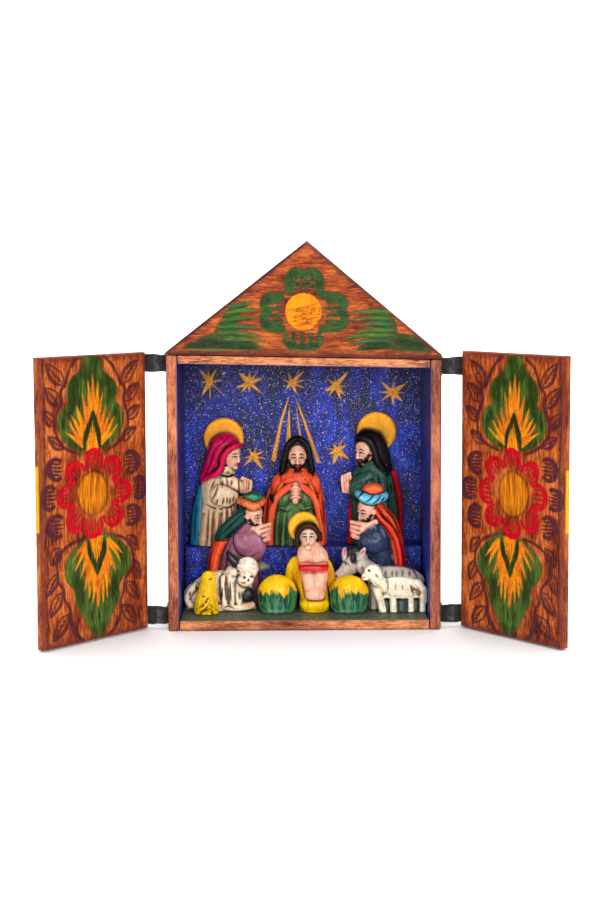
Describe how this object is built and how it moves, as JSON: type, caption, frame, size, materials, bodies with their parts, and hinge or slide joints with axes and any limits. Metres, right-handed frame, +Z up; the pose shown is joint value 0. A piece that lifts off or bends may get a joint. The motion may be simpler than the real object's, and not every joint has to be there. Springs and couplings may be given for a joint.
{
  "type": "retablo",
  "caption": "Small gabled wooden box on strap hinges with painted doors and a moulded, painted nativity scene on two levels inside.",
  "frame": {"origin": "middle of the floor board, on the underside that the box stands on", "axes": "+Z up, +Y towards the back panel, +X to the viewer's right when looking into the open box"},
  "size_m": [0.1848, 0.0841, 0.1426],
  "materials": {
    "varnished_wood": "satin varnish",
    "door_wood": "satin varnish",
    "blue_glitter": "paint with glitter",
    "leather": "matt",
    "veiled_woman_paint": "glossy paint on moulded paste",
    "centre_king_paint": "glossy paint on moulded paste",
    "bearded_man_paint": "glossy paint on moulded paste",
    "left_kneeling_king_paint": "glossy paint on moulded paste",
    "right_kneeling_king_paint": "glossy paint on moulded paste",
    "infant_on_straw_paint": "glossy paint on moulded paste",
    "left_bush_paint": "glossy paint on moulded paste",
    "right_bush_paint": "glossy paint on moulded paste",
    "ox_paint": "glossy paint on moulded paste",
    "donkey_paint": "glossy paint on moulded paste",
    "sheep_paint": "glossy paint on moulded paste",
    "hay_sheaf_paint": "glossy paint on moulded paste"
  },
  "bodies": {
    "box": {"left_wall": "varnished_wood", "right_wall": "varnished_wood", "floor_board": "varnished_wood", "top_board": "varnished_wood", "gable": "varnished_wood", "back_panel": "blue_glitter", "ledge": "blue_glitter", "left_top_strap": "leather", "left_bottom_strap": "leather", "right_top_strap": "leather", "right_bottom_strap": "leather", "veiled_woman": "veiled_woman_paint", "centre_king": "centre_king_paint", "bearded_man": "bearded_man_paint", "left_kneeling_king": "left_kneeling_king_paint", "right_kneeling_king": "right_kneeling_king_paint", "infant_on_straw": "infant_on_straw_paint", "left_bush": "left_bush_paint", "right_bush": "right_bush_paint", "ox": "ox_paint", "donkey": "donkey_paint", "sheep": "sheep_paint", "hay_sheaf": "hay_sheaf_paint"},
    "left_leaf": {"left_door": "door_wood"},
    "right_leaf": {"right_door": "door_wood"}
  },
  "joints": [
    {"name": "left_door_hinge", "type": "hinge", "parent": "box", "child": "left_leaf", "pos_m": [-0.0527, -0.0197, 0.05], "axis": [0, 0, 1], "range_deg": [-72.7, 132.3], "deforming": ["left_top_strap", "left_bottom_strap"]},
    {"name": "right_door_hinge", "type": "hinge", "parent": "box", "child": "right_leaf", "pos_m": [0.0527, -0.0197, 0.05], "axis": [0, 0, 1], "range_deg": [-128.7, 76.3], "deforming": ["right_top_strap", "right_bottom_strap"]}
  ]
}
